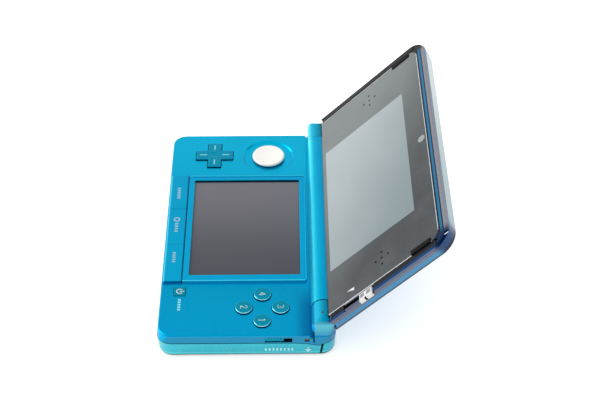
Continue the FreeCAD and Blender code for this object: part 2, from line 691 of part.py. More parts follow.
def lid_inner_frame():
    """The lid's screen side: a rim with a pocket for the glass panel."""
    low = outline(LID_HALF, LID_SIDE_S, LID_END_S, 0, 9.0, LID_SEAM_N + 0.05)
    face = outline(LID_HALF - 0.4, LID_SIDE_S, LID_END_S - 0.3, 0, 8.8, LID_FACE_N)
    body = Part.makeLoft([low, face], True, True)
    body = soften(body, 0.35, lambda e: top_edges(LID_FACE_N)(e) and e.BoundBox.YMax > LID_SIDE_S + 0.1)
    tools = [hinge_rod(BARREL_R + 0.03, -54, 54), box(-54, 54, 0, 4.25, 0, 4),
             plate(PANEL_HALF + 0.12, 3.0, PANEL_END_S + 0.12, PANEL_N0, 4, 0.4, 5.1),
             box(-40.4, 40.4, 5.4, 54.7, 0, 4), disc(2.1, 0, CAMERA_S, 0, 4)]
    for side in (-1, 1):
        tools.append(disc(4.6, side * SPEAKER[0], SPEAKER[1], 0, 4))
        low_x, high_x = sorted(side * x for x in GROOVE_X)
        tools.append(box(low_x, high_x, 0, GROOVE_S, GROOVE_N, 4))
        tools.append(disc((high_x - low_x) / 2, (low_x + high_x) / 2, GROOVE_S, GROOVE_N, 4))
    s0, s1 = SLIDER_S
    tools.append(box(63.8, 65.7, s0 - SLIDER_TRAVEL - 0.3, s1 + 0.3, 0, 4))
    tools.append(box(66.0, 70, s0 - SLIDER_TRAVEL - 0.3, s1 + 0.3, GROOVE_N, 4))
    return cut(body, tools + knuckle_room(0.05))


def hinge_barrel():
    """Centre knuckle of the hinge, which carries the lid and hides its cables."""
    web = box(-53.6, 53.6, HINGE_S, 4.15, -3.4, 1.2)
    body = fuse([hinge_rod(BARREL_R, -BARREL_HALF, BARREL_HALF), web])
    return cut(body, [hinge_rod(3.4, -PIN_IN + 1, PIN_IN - 1), hinge_rod(PIN_R + RUNNING, -60, 60)])


def upper_panel():
    """The lid's glass, notched round the two bumpers and pierced for the speakers."""
    body = plate(PANEL_HALF, 2.0, PANEL_END_S, PANEL_N0 + 0.02, PANEL_N1, 0.4, 5.0)
    tools = knuckle_room(0.1) + [hinge_rod(BARREL_R + 0.05, -54, 54)]
    for side in (-1, 1):
        notch = sorted((side * (BUMPER_X[0] - 0.12), side * 80))
        tools.append(box(notch[0], notch[1], BUMPER_S[0] - 0.12, BUMPER_S[1] + 0.12, 0, 4))
        for dx, ds in ((0, 0), (3.4, 0), (-3.4, 0), (0, 3.4), (0, -3.4)):
            tools.append(disc(0.55, side * SPEAKER[0] + dx, SPEAKER[1] + ds, 0, 4))
    return body.cut(tools)


def upper_display():
    return plate(40.0, 5.7, 54.4, -1.2, 1.0, 0.6, 0.6)


def parallax_barrier():
    """Thin second liquid crystal layer that splits the picture for each eye."""
    return plate(39.6, 5.9, 54.2, 1.04, 1.6, 0.5, 0.5)


def inner_camera():
    body = fuse([disc(1.9, 0, CAMERA_S, -0.5, 1.6), box(-2.6, 2.6, CAMERA_S - 2.4, CAMERA_S + 2.4, -2.4, -0.4)])
    return body


def rear_cameras():
    """Two lens rings on the lid's back."""
    rings = []
    for side in (-1, 1):
        x = side * 17.5
        ring = disc(2.8, x, CAMERA_S, LID_BACK_N - 0.15, -3.95)
        rings.append(ring.cut(Part.makeCone(2.1, 1.3, 0.5, V(x, CAMERA_S, LID_BACK_N - 0.15))))
    return Part.makeCompound(rings)


def camera_module():
    return box(-21.5, 21.5, CAMERA_S - 3.2, CAMERA_S + 2.6, -3.9, -2.5)


def speakers():
    cans = [disc(6.8, side * SPEAKER[0], SPEAKER[1], -1.6, 1.15) for side in (-1, 1)]
    return Part.makeCompound(cans)


def lid_bumpers():
    """Two rubber pads that the lid shuts on."""
    pads = []
    for side in (-1, 1):
        x0, x1 = sorted(side * x for x in BUMPER_X)
        pads.append(box(x0, x1, BUMPER_S[0], BUMPER_S[1], PANEL_N0 + 0.02, 2.95))
    return Part.makeCompound(pads)


def display_flex():
    """Rolled flat cable from the base to the upper screen."""
    return hinge_rod(2.5, -40, -22).cut(hinge_rod(2.1, -41, -21))


def depth_slider():
    """Slider over the lid's right rim: a cap outside and a foot behind the rim."""
    s0, s1 = SLIDER_S
    cap = box(63.35, 68.9, s0, s1, 2.0, 2.95)
    lip = box(67.75, 68.9, s0, s1, 0.3, 2.95)
    stem = box(64.0, 65.5, s0, s1, 0.2, 2.05)
    foot = box(61.0, 64.9, s0, s1, -0.5, 0.3)
    body = fuse([cap, lip, stem, foot])
    return soften(body, 0.35, lambda e: e.BoundBox.XMin > 68.8 and e.BoundBox.XLength < 0.01 and e.Length > 0.5)


# ---------------------------------------------------------------- write the pieces
def base_pieces():
    pieces = {
        "bottom_cover": bottom_cover(), "mid_housing": mid_housing(),
        "lower_screen_frame": lower_screen_frame(), "touch_panel": touch_panel(),
        "lower_display": lower_display(), "strip_key_membrane": strip_key_membrane(),
        "power_key": power_key(), "dpad_cross": dpad(), "dpad_pivot": dpad_pivot(),
        "dpad_membrane": dpad_membrane(), "face_button_membrane": face_button_membrane(),
        "slide_pad_cap": slide_pad_cap(), "slide_pad_skirt": slide_pad_skirt(),
        "slide_pad_carriage": slide_pad_carriage(), "slide_pad_housing": slide_pad_housing(),
        "shoulder_pins": shoulder_pins(), "shoulder_springs": shoulder_springs(),
        "wireless_switch": wireless_switch(), "volume_slider": volume_slider(),
        "main_board": main_board(), "battery": battery(), "battery_tray": battery_tray(),
        "card_slot": card_slot(), "memory_card_socket": memory_card_socket(),
        "memory_card_door": memory_card_door(), "stylus_tunnel": stylus_tunnel(),
        "stylus_barrel": stylus_barrel(), "stylus_tip": stylus_tip(),
        "headphone_jack": headphone_jack(), "charge_jack": charge_jack(),
        "charge_contacts": charge_contacts(), "ir_window": ir_window(),
        "wireless_module": wireless_module(), "status_lamps": status_lamps(),
        "case_screws": case_screws(), "hinge_unit": hinge_unit(), "hinge_pin": hinge_pin(),
    }
    right = shoulder_button()
    pieces["shoulder_button_right"] = right
    pieces["shoulder_button_left"] = mirrored(right)
    for name, place in button_places().items():
        pieces["face_button_" + name] = face_button(place)
    for name in strip_spans():
        pieces["strip_key_" + name] = strip_key(name)
    return pieces


def lid_pieces():
    return {
        "lid_outer_shell": lid_outer_shell(), "lid_inner_frame": lid_inner_frame(),
        "hinge_barrel": hinge_barrel(), "upper_panel": upper_panel(),
        "upper_display": upper_display(), "parallax_barrier": parallax_barrier(),
        "inner_camera": inner_camera(), "rear_cameras": rear_cameras(),
        "camera_module": camera_module(), "speakers": speakers(),
        "lid_bumpers": lid_bumpers(), "display_flex": display_flex(),
        "depth_slider": depth_slider(),
    }


os.makedirs("parts", exist_ok=True)
for piece, solid in base_pieces().items():
    save(piece, solid)
for piece, solid in lid_pieces().items():
    save(piece, on_lid(solid))
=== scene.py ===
"""Looks of the clamshell handheld game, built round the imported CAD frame.

Metres, except for the thin printed and moulded details, which are given in millimetres.
"""

import json
import math

import bmesh
import bpy
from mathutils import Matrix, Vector


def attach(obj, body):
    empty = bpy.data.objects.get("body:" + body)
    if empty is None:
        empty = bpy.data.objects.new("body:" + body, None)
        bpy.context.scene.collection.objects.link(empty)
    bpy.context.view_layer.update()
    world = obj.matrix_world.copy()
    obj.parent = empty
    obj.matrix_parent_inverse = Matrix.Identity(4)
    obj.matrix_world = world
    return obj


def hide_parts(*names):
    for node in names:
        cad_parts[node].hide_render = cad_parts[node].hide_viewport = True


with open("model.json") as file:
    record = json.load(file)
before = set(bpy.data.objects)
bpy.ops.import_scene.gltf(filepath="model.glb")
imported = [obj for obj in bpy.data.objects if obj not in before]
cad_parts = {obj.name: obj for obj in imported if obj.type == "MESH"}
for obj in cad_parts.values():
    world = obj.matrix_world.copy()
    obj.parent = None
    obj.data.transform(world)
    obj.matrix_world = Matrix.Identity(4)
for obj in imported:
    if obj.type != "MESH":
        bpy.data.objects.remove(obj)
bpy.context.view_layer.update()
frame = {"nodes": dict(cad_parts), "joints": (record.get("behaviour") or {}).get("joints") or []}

MM = 0.001
JOINT = {joint["name"]: joint for joint in frame["joints"]}
HINGE = Vector(JOINT["lid_hinge"]["pos_m"])
S_DIR = Vector(JOINT["depth_slide"]["axis"]).normalized()
X_DIR = Vector((1, 0, 0))
Y_DIR = Vector((0, 1, 0))
Z_DIR = Vector((0, 0, 1))
N_DIR = X_DIR.cross(S_DIR)
LID_ORIGIN = HINGE + 0.00063 * S_DIR - 0.00036 * N_DIR
TOP = (Vector(), X_DIR, Y_DIR, Z_DIR)
LID = (LID_ORIGIN, X_DIR, S_DIR, N_DIR)
NEAR_SIDE = (Vector(), Y_DIR, Z_DIR, X_DIR)


# ------------------------------------------------------------------ stage, light, camera
def make_camera():
    """Looks along the hinge from the player's right, from 41 degrees up."""
    azimuth, elevation, distance = math.radians(89.4), math.radians(41.0), 0.660
    target = Vector((-0.0309, 0.0229, 0.0))
    back = Vector((math.sin(azimuth) * math.cos(elevation), -math.cos(azimuth) * math.cos(elevation),
                   math.sin(elevation)))
    data = bpy.data.cameras.new("camera")
    data.lens = 84.4
    data.sensor_width = 36.0
    data.shift_x = 0.0052
    data.clip_start, data.clip_end = 0.01, 50.0
    camera = bpy.data.objects.new("camera", data)
    camera.location = target + back * distance
    camera.rotation_euler = (-back).to_track_quat("-Z", "Y").to_euler()
    bpy.context.scene.collection.objects.link(camera)
    bpy.context.scene.camera = camera


def make_light(name, place, aim, size, power):
    """Rectangular area light, size in metres and power in watts."""
    data = bpy.data.lights.new(name, "AREA")
    data.shape = "RECTANGLE"
    data.size, data.size_y = size
    data.energy = power
    light = bpy.data.objects.new(name, data)
    light.location = place
    light.rotation_euler = (Vector(aim) - Vector(place)).to_track_quat("-Z", "Y").to_euler()
    bpy.context.scene.collection.objects.link(light)


def make_stage():
    """White floor with a little light of its own, white surroundings and two soft lights."""
    mesh = bpy.data.meshes.new("floor")
    half = 3.0
    corners = [(-half, -half, 0), (half, -half, 0), (half, half, 0), (-half, half, 0)]
    mesh.from_pydata(corners, [], [(0, 1, 2, 3)])
    floor = bpy.data.objects.new("floor", mesh)
    floor.location.z = -0.00005
    bpy.context.scene.collection.objects.link(floor)
    material = bpy.data.materials.new("pale_floor")
    material.use_nodes = True
    shader = material.node_tree.nodes["Principled BSDF"]
    shader.inputs["Base Color"].default_value = (0.96, 0.96, 0.96, 1)
    shader.inputs["Roughness"].default_value = 0.7
    shader.inputs["Emission Color"].default_value = (1, 1, 1, 1)
    shader.inputs["Emission Strength"].default_value = 0.42
    mesh.materials.append(material)
    world = bpy.data.worlds.new("studio")
    world.use_nodes = True
    world.node_tree.nodes["Background"].inputs["Color"].default_value = (1, 1, 1, 1)
    world.node_tree.nodes["Background"].inputs["Strength"].default_value = 1.0
    bpy.context.scene.world = world
    bpy.context.scene.view_settings.view_transform = "Standard"
    make_light("key", place=(-0.25, -0.7, 0.9), aim=(0, 0, 0.02), size=(0.5, 0.4), power=4.0)
    make_light("fill", place=(-0.2, -0.9, 0.3), aim=(0, 0.0, 0.01), size=(0.5, 0.3), power=1.5)


# ------------------------------------------------------------------ material building
class Shade:
    """A Principled material with short calls for adding and joining nodes."""

    def __init__(self, name):
        self.material = bpy.data.materials.new(name)
        self.material.use_nodes = True
        self.tree = self.material.node_tree
        self.shader = self.tree.nodes["Principled BSDF"]
        self.place = self.tree.nodes.new("ShaderNodeTexCoord").outputs["Object"]

    def set(self, **values):
        for key, value in values.items():
            socket = self.shader.inputs[key.replace("_", " ")]
            socket.default_value = (*value, 1) if isinstance(value, tuple) and len(value) == 3 else value
        return self

    def join(self, source, target):
        if isinstance(source, bpy.types.NodeSocket):
            self.tree.links.new(source, target)
        else:
            target.default_value = source

    def feed(self, key, source):
        self.tree.links.new(source, self.shader.inputs[key])

    def noise(self, size, detail=2.0, roughness=0.5):
        """Noise whose features are about size metres across, from 0 to 1."""
        node = self.tree.nodes.new("ShaderNodeTexNoise")
        self.tree.links.new(self.place, node.inputs["Vector"])
        node.inputs["Scale"].default_value = 1.0 / size
        node.inputs["Detail"].default_value = detail
        node.inputs["Roughness"].default_value = roughness
        return node.outputs["Fac"]

    def math(self, operation, a, b=0.0):
        node = self.tree.nodes.new("ShaderNodeMath")
        node.operation = operation
        for source, target in zip((a, b), node.inputs):
            self.join(source, target)
        return node.outputs[0]

    def along(self, direction, origin=(0, 0, 0)):
        """Distance of the shaded point from origin, measured along a direction."""
        node = self.tree.nodes.new("ShaderNodeVectorMath")
        node.operation = "DOT_PRODUCT"
        self.tree.links.new(self.place, node.inputs[0])
        node.inputs[1].default_value = direction
        return self.math("SUBTRACT", node.outputs["Value"], Vector(origin).dot(Vector(direction)))

    def ramp(self, source, low, high, out_low=0.0, out_high=1.0):
        """Maps low..high of the source on to out_low..out_high, clamped, with soft ends."""
        node = self.tree.nodes.new("ShaderNodeMapRange")
        node.interpolation_type = "SMOOTHSTEP"
        self.join(source, node.inputs["Value"])
        for key, value in (("From Min", low), ("From Max", high), ("To Min", out_low), ("To Max", out_high)):
            node.inputs[key].default_value = value
        return node.outputs["Result"]

    def mix(self, factor, a, b, blend="MIX"):
        node = self.tree.nodes.new("ShaderNodeMix")
        node.data_type = "RGBA"
        node.blend_type = blend
        self.join(factor, node.inputs["Factor"])
        for source, target in ((a, node.inputs["A"]), (b, node.inputs["B"])):
            self.join((*source, 1) if isinstance(source, tuple) and len(source) == 3 else source, target)
        return node.outputs["Result"]

    def bump(self, height, distance, strength=1.0):
        node = self.tree.nodes.new("ShaderNodeBump")
        self.tree.links.new(height, node.inputs["Height"])
        node.inputs["Distance"].default_value = distance
        node.inputs["Strength"].default_value = strength
        self.tree.links.new(node.outputs["Normal"], self.shader.inputs["Normal"])

    def inside(self, coordinate, centre, half, soft):
        """1 where the coordinate is within half of centre, fading over soft."""
        offset = self.math("ABSOLUTE", self.math("SUBTRACT", coordinate, centre))
        return self.ramp(offset, half - soft, half + soft, 1.0, 0.0)


def lacquer(name, colour, roughness=0.3, metallic=1.0, coat=0.0, painted_light=None):
    """Fine metallic lacquer: flakes too small to see singly, under a thin clear coat."""
    shade = Shade(name).set(Metallic=metallic, Coat_Weight=coat, Coat_Roughness=0.06, Specular_IOR_Level=0.3)
    flakes = shade.noise(0.00028, detail=1.0)
    drift = shade.noise(0.03, detail=2.0)
    # The optional function paints light, shade and reflections by place over the colour.
    base = painted_light(shade, colour) if painted_light else colour
    dark = shade.mix(1.0, base, (0.88, 0.9, 0.92), "MULTIPLY")
    lift = shade.mix(1.0, base, (1.0, 1.05, 1.05), "MULTIPLY")
    base = shade.mix(shade.ramp(flakes, 0.3, 0.7), dark, base)
    shade.feed("Base Color", shade.mix(shade.ramp(drift, 0.35, 0.7, 0.0, 0.5), base, lift))
    shade.feed("Roughness", shade.ramp(flakes, 0.2, 0.8, roughness - 0.05, roughness + 0.07))
    shade.bump(flakes, 0.000006, 0.5)
    return shade


def plastic(name, colour, roughness=0.4, grain=0.0003, coat=0.0, depth=0.000008, shine=0.5):
    """Moulded plastic with a light grain and slight handling marks."""
    shade = Shade(name).set(Coat_Weight=coat, Coat_Roughness=0.08, Specular_IOR_Level=shine)
    fine = shade.noise(grain, detail=3.0)
    smear = shade.noise(0.012, detail=3.0)
    dark = tuple(0.88 * c for c in colour)
    shade.feed("Base Color", shade.mix(shade.ramp(fine, 0.3, 0.7), dark, colour))
    rough = shade.math("ADD", shade.ramp(smear, 0.3, 0.75, roughness - 0.06, roughness + 0.06),
                       shade.ramp(fine, 0.2, 0.8, -0.02, 0.02))
    shade.feed("Roughness", rough)
    shade.bump(fine, depth, 0.6)
    return shade


def metal(name, colour, roughness=0.3, streak=0.0002):
    """Pressed or drawn metal with fine streaks."""
    shade = Shade(name).set(Metallic=1.0)
    grain = shade.noise(streak, detail=4.0, roughness=0.7)
    dull = tuple(0.75 * c for c in colour)
    shade.feed("Base Color", shade.mix(shade.ramp(grain, 0.3, 0.7), dull, colour))
    shade.feed("Roughness", shade.ramp(grain, 0.2, 0.8, roughness - 0.08, roughness + 0.1))
    shade.bump(grain, 0.000005, 0.5)
    return shade


def dress(shade, *names):
    """Gives CAD nodes a material."""
    for name in names:
        node = frame["nodes"][name]
        node.data.materials.clear()
        node.data.materials.append(shade.material)


# ------------------------------------------------------------------ painted light and shade by place, on the lacquered parts
def deck_light_and_shade(shade, colour):
    """Cyan top that deepens towards the near side as painted shade, with the walls painted a darker steel
    blue as shade.
    """
    x, y, z = shade.along(X_DIR), shade.along(Y_DIR), shade.along(Z_DIR)
    # Painted light across the top: lighter at the far side, deeper towards the near side.
    top = shade.mix(shade.ramp(x, -0.055, 0.02), (0.0, 0.42, 0.66), colour)
    top = shade.mix(shade.ramp(x, 0.035, 0.06), top, (0.0, 0.315, 0.57))
    # Painted shadow on the deck beside the barrel, at the near end.
    shadow = shade.math("MULTIPLY", shade.ramp(y, 0.019, 0.026), shade.ramp(x, 0.036, 0.05))
    top = shade.mix(shadow, top, (0.0, 0.16, 0.37))
    # The outer walls below the deck are painted darker as shade.
    outside = shade.math("MAXIMUM", shade.ramp(shade.math("ABSOLUTE", x), 0.0656, 0.0658),
                         shade.ramp(y, -0.0361, -0.0358, 1.0, 0.0))
    low = shade.math("MULTIPLY", outside, shade.ramp(z, 0.0108, 0.0116, 1.0, 0.0))
    wall = shade.mix(low, top, (0.022, 0.20, 0.34))
    # Painted highlight on the front of the knuckle, painted shade towards its back.
    knuckle = shade.mix(shade.ramp(y, 0.0272, 0.0345), (0.015, 0.56, 0.80), (0.0, 0.20, 0.34))
    high = shade.mix(shade.ramp(z, 0.0125, 0.0145), wall, knuckle)
    # The cheek of the knuckle is painted lighter upwards as reflection.
    cheek = shade.mix(shade.ramp(z, 0.010, 0.0185), (0.022, 0.21, 0.36), (0.09, 0.37, 0.45))
    side = shade.math("MULTIPLY", shade.ramp(x, 0.0652, 0.0664), shade.ramp(z, 0.0118, 0.0122))
    return shade.mix(side, high, cheek)


def barrel_tint(shade, colour):
    """Light catches the front of the barrel and falls off towards its back."""
    y = shade.along(Y_DIR)
    front = shade.mix(shade.ramp(y, 0.0275, 0.0305), (0.03, 0.80, 1.0), colour)
    return shade.mix(shade.ramp(y, 0.030, 0.034), front, (0.0, 0.30, 0.56))


def frame_edge_highlight(shade, colour):
    """The screen frame gets a painted highlight along its outer edge."""
    x, y = shade.math("ABSOLUTE", shade.along(X_DIR)), shade.along(Y_DIR)
    edge = shade.math("MAXIMUM", shade.ramp(x, 0.0342, 0.0346), shade.ramp(y, 0.0252, 0.0256))
    return shade.mix(edge, colour, (0.05, 0.60, 0.80))


def strip_light_and_shade(shade, colour):
    """The key strip gets a painted highlight along its front edge and painted shade where it meets the
    frame.
    """
    y = shade.along(Y_DIR)
    base = shade.mix(shade.ramp(y, -0.0355, -0.0348), (0.08, 0.68, 0.85), colour)
    return shade.mix(shade.ramp(y, -0.0282, -0.0278), base, (0.0, 0.10, 0.22))


def cover_highlight_and_shade(shade, colour):
    """Turquoise wall with a painted highlight line above its foot, which is painted dark as shadow."""
    z = shade.along(Z_DIR)
    line = shade.mix(shade.inside(z, 0.0021, 0.0003, 0.0001), colour, (0.10, 0.58, 0.64))
    return shade.mix(shade.ramp(z, 0.0009, 0.0016), (0.0, 0.03, 0.05), line)


def key_highlight_and_shade(shade, colour):
    """Keys with a painted highlight line round the top edge over sides painted dark as shade."""
    z = shade.along(Z_DIR)
    line = shade.mix(shade.inside(z, 0.01234, 0.00014, 0.00005), colour, (0.30, 0.80, 0.90))
    return shade.mix(shade.ramp(z, 0.0121, 0.0122), (0.0, 0.045, 0.10), line)


def cross_side_shade(shade, colour):
    """The cross key is plain on top, with its sides painted dark as shade."""
    return shade.mix(shade.ramp(shade.along(Z_DIR), 0.0119, 0.0121), (0.0, 0.045, 0.10), colour)


def lid_places(shade):
    """Signed x, and x, s and n measured from the lid's own origin."""
    x = shade.along(X_DIR)
    return x, shade.math("ABSOLUTE", x), shade.along(S_DIR, LID_ORIGIN), shade.along(N_DIR, LID_ORIGIN)


def shell_reflections_and_shade(shade, colour):
    """Deep blue shell with painted reflections: a pale band on its outer end wall and steel-blue bands on
    its sides, with painted shade on the near outer corner.
    """
    signed, x, s, n = lid_places(shade)
    # Painted reflection bands on the side walls: a dark line at the back edge, steel blue, then lilac grey
    # next to the rim.
    wall = shade.mix(shade.ramp(n, -0.0041, -0.0037), (0.0, 0.006, 0.012), (0.012, 0.20, 0.38))
    wall = shade.mix(shade.ramp(n, -0.0012, -0.0007), wall, (0.09, 0.12, 0.18))
    side = shade.mix(shade.ramp(x, 0.0638, 0.0648), colour, wall)
    # Painted shade on the near corner at the outer end.
    corner = shade.math("MULTIPLY", shade.ramp(s, 0.059, 0.063), shade.ramp(signed, 0.054, 0.058))
    corner_shade = shade.mix(shade.ramp(n, -0.0036, -0.003), (0.0, 0.004, 0.008), (0.0, 0.03, 0.11))
    side = shade.mix(corner, side, corner_shade)
    # Painted reflection on the outer end wall: paler towards the far side, darker along its back edge.
    end = shade.mix(shade.ramp(signed, -0.05, 0.03), (0.24, 0.30, 0.31), (0.10, 0.19, 0.23))
    end = shade.mix(shade.ramp(n, -0.0049, -0.0044), (0.12, 0.16, 0.2), end)
    inner = shade.math("MULTIPLY", shade.ramp(x, 0.054, 0.058, 1.0, 0.0), shade.ramp(s, 0.0652, 0.0658))
    return shade.mix(inner, side, end)


def rim_reflections_and_shade(shade, colour):
    """Navy rim: black beside the panel, with a painted blue reflection line further out and painted
    lilac-grey reflection on the outer end; painted shade on the far side and the near outer corner.
    """
    signed, x, s, n = lid_places(shade)
    end_out, side_out = shade.math("SUBTRACT", s, 0.0646), shade.math("SUBTRACT", x, 0.0631)
    # Painted reflections on the outer end: a blue line, then lilac grey, and a paler band on the wall below.
    end = shade.mix(shade.inside(end_out, 0.0016, 0.0006, 0.0002), colour, (0.01, 0.17, 0.34))
    end = shade.mix(shade.ramp(end_out, 0.0027, 0.0029), end, (0.25, 0.25, 0.29))
    end = shade.mix(shade.ramp(n, 0.0014, 0.0022), (0.22, 0.29, 0.34), end)
    # Painted reflections on the sides: navy further out, purple grey on the wall below.
    side = shade.mix(shade.ramp(side_out, 0.0030, 0.0032), colour, (0.0, 0.035, 0.13))
    side = shade.mix(shade.ramp(n, 0.0018, 0.0024), (0.11, 0.12, 0.17), side)
    # The far side is painted near black as shade.
    side = shade.mix(shade.ramp(signed, -0.01, 0.01), (0.004, 0.005, 0.006), side)
    inner = shade.math("MULTIPLY", shade.ramp(x, 0.058, 0.063, 1.0, 0.0), shade.ramp(end_out, 0.0, 0.0002))
    # Painted shade on the near outer corner.
    corner = shade.math("MULTIPLY", shade.ramp(s, 0.060, 0.0635), shade.ramp(signed, 0.0, 0.01))
    side = shade.mix(corner, side, (0.0, 0.012, 0.055))
    return shade.mix(inner, side, end)


# ------------------------------------------------------------------ screens
def panel_glass():
    """Black-backed gloss panel with the pale unlit screen showing through its window, painted reflections
    across both, and a painted highlight along its edge.
    """
    shade = Shade("panel_glass").set(IOR=1.3, Specular_IOR_Level=0.4)
    x, s = shade.along(X_DIR), shade.along(S_DIR, LID_ORIGIN)
    middle, half_width, half_height, soft = 0.03005, 0.0391, 0.02385, 0.0002
    window = shade.math("MULTIPLY", shade.inside(x, 0.0, half_width, soft),
                        shade.inside(s, middle, half_height, soft))
    smear = shade.noise(0.018, detail=4.0)
    # Painted reflection: gradients across the black back and the screen window.
    reflection_slant = shade.math("ADD", x, shade.math("SUBTRACT", s, 0.03))
    reflection_steep = shade.math("ADD", reflection_slant, shade.math("MULTIPLY", 0.5, shade.math("SUBTRACT", s, 0.03)))
    back = shade.mix(shade.ramp(reflection_slant, -0.07, 0.06), (0.165, 0.185, 0.18), (0.042, 0.048, 0.053))
    pale = shade.mix(shade.ramp(reflection_steep, -0.075, 0.075), (0.35, 0.39, 0.40), (0.18, 0.225, 0.235))
    base = shade.mix(window, back, pale)
    # Painted highlight along the panel's edge.
    edge = shade.math("MAXIMUM", shade.math("ABSOLUTE", x), shade.math("SUBTRACT", s, 0.0015))
    base = shade.mix(shade.ramp(edge, 0.06285, 0.06295), base, (0.75, 0.78, 0.80))
    shade.feed("Base Color", shade.mix(shade.ramp(smear, 0.3, 0.8, 0.0, 0.06), base, (0.5, 0.5, 0.5)))
    shade.feed("Roughness", shade.ramp(smear, 0.3, 0.8, 0.12, 0.22))
    return shade


def touch_film():
    """Matt film of the touch layer over an unlit screen, with a painted reflection across it and a painted
    shadow along the far edge of its window.
    """
    shade = Shade("touch_film").set(IOR=1.45, Specular_IOR_Level=0.3)
    x = shade.along(X_DIR)
    fine = shade.noise(0.0002, detail=2.0)
    smear = shade.noise(0.015, detail=4.0)
    # Painted reflection: lighter towards the far side.
    grey = shade.mix(shade.ramp(x, -0.035, 0.03), (0.135, 0.132, 0.15), (0.054, 0.058, 0.070))
    base = shade.mix(shade.ramp(fine, 0.3, 0.7, 0.0, 0.06), grey, (0.0, 0.0, 0.0))
    # Painted shadow along the far edge of the window.
    shade.feed("Base Color", shade.mix(shade.ramp(x, -0.0308, -0.0306), (0.006, 0.007, 0.009), base))
    shade.feed("Roughness", shade.ramp(smear, 0.3, 0.8, 0.28, 0.36))
    shade.bump(fine, 0.000004, 0.4)
    return shade


# ------------------------------------------------------------------ thin shapes, in millimetres
def quad(x0, y0, x1, y1):
    """Upright rectangle between two opposite corners."""
    return [(x0, y0), (x1, y0), (x1, y1), (x0, y1)]


def stroke(points, width):
    """Rectangles along a line of points, in millimetres."""
    shapes = []
    for (x0, y0), (x1, y1) in zip(points, points[1:]):
        along = Vector((x1 - x0, y1 - y0)).normalized() * width / 2
        across = Vector((-along.y, along.x))
        ends = (Vector((x0, y0)) - along, Vector((x1, y1)) + along)
        shapes.append([tuple(end + side) for end, side in
                       ((ends[0], -across), (ends[1], -across), (ends[1], across), (ends[0], across))])
    return shapes


def arc(x, y, radius, width, start=0, stop=360, steps=24):
    """Ring or part of one, as quadrangles, from start to stop degrees."""
    turns = [math.radians(start + (stop - start) * k / steps) for k in range(steps + 1)]
    inner, outer = radius - width / 2, radius + width / 2
    rim = [[(x + reach * math.cos(t), y + reach * math.sin(t)) for reach in (inner, outer)] for t in turns]
    return [[a[0], a[1], b[1], b[0]] for a, b in zip(rim, rim[1:])]


def slabs(name, body, axes, layers, material, round_off=0.0):
    """Flat prisms on a plane of the given axes; each layer is (shapes, low, high) in millimetres."""
    origin, across, up, out = axes
    mesh = bmesh.new()
    for shapes, low, high in layers:
        for shape in shapes:
            bottom, top = ([mesh.verts.new(origin + (u * across + v * up + level * out) * MM)
                            for u, v in shape] for level in (low, high))
            mesh.faces.new(top)
            mesh.faces.new(bottom[::-1])
            for k in range(len(shape)):
                j = (k + 1) % len(shape)
                mesh.faces.new((bottom[k], bottom[j], top[j], top[k]))
    bmesh.ops.recalc_face_normals(mesh, faces=mesh.faces)
    data = bpy.data.meshes.new(name)
    mesh.to_mesh(data)
    mesh.free()
    data.materials.append(material)
    piece = bpy.data.objects.new(name, data)
    bpy.context.scene.collection.objects.link(piece)
    if round_off:
        bevel = piece.modifiers.new("edge", "BEVEL")
        bevel.width = round_off * MM
        bevel.segments = 3
    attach(piece, body)
    return piece


def relief(name, body, axes, shapes, low, high, material, round_off=0.0):
    """Flat prisms that all lie between the same two levels."""
    return slabs(name, body, axes, [(shapes, low, high)], material, round_off)


def dashes(x0, x1, y0, y1, count, pitch_share=0.68):
    """A row of short bars where a word would be."""
    pitch = (x1 - x0) / count
    return [quad(x0 + pitch * k, y0, x0 + pitch * (k + pitch_share), y1) for k in range(count)]


# ------------------------------------------------------------------ stage, and what each CAD part is made of
make_camera()
make_stage()

dress(lacquer("deck_lacquer", (0.0, 0.30, 0.525), painted_light=deck_light_and_shade), "mid_housing")
dress(lacquer("frame_lacquer", (0.0, 0.35, 0.62), painted_light=frame_edge_highlight), "lower_screen_frame")
dress(lacquer("strip_lacquer", (0.0, 0.345, 0.59), painted_light=strip_light_and_shade),
      "strip_key_left", "strip_key_middle", "strip_key_right")
dress(lacquer("barrel_lacquer", (0.0, 0.40, 0.64), painted_light=barrel_tint), "hinge_barrel")
dress(lacquer("cover_turquoise", (0.036, 0.40, 0.48), metallic=0.7, painted_light=cover_highlight_and_shade),
      "bottom_cover", "shoulder_button_left", "shoulder_button_right", "memory_card_door")
keys = lacquer("key_teal", (0.0, 0.25, 0.37), 0.22, metallic=0.9, painted_light=key_highlight_and_shade)
flat_keys = lacquer("key_flat", (0.0, 0.24, 0.34), 0.22, metallic=0.9)
dress(lacquer("key_cross", (0.0, 0.27, 0.42), 0.22, 0.9, painted_light=cross_side_shade), "dpad_cross")
dress(keys, "face_button_right", "face_button_left", "face_button_front", "face_button_rear")
dress(flat_keys, "power_key", "wireless_switch", "volume_slider", "slide_pad_skirt")
dress(plastic("pad_white", (0.86, 0.83, 0.78), 0.45), "slide_pad_cap")
dress(lacquer("lid_blue", (0.008, 0.16, 0.34), 0.22, 0.95, 0.05, shell_reflections_and_shade), "lid_outer_shell")
dress(lacquer("lid_rim", (0.0, 0.006, 0.02), 0.22, 0.95, 0.0, rim_reflections_and_shade), "lid_inner_frame")
dress(panel_glass(), "upper_panel")
dress(touch_film(), "touch_panel")
dress(plastic("inner_black", (0.02, 0.02, 0.022), 0.5), "slide_pad_housing", "slide_pad_carriage",
      "battery_tray", "stylus_tunnel", "stylus_barrel", "stylus_tip", "headphone_jack", "charge_jack",
      "camera_module", "dpad_pivot")
dress(plastic("rubber_grey", (0.10, 0.10, 0.11), 0.7),
      "strip_key_membrane", "dpad_membrane", "face_button_membrane")
dress(plastic("rubber_black", (0.006, 0.006, 0.006), 0.75, shine=0.1), "lid_bumpers")
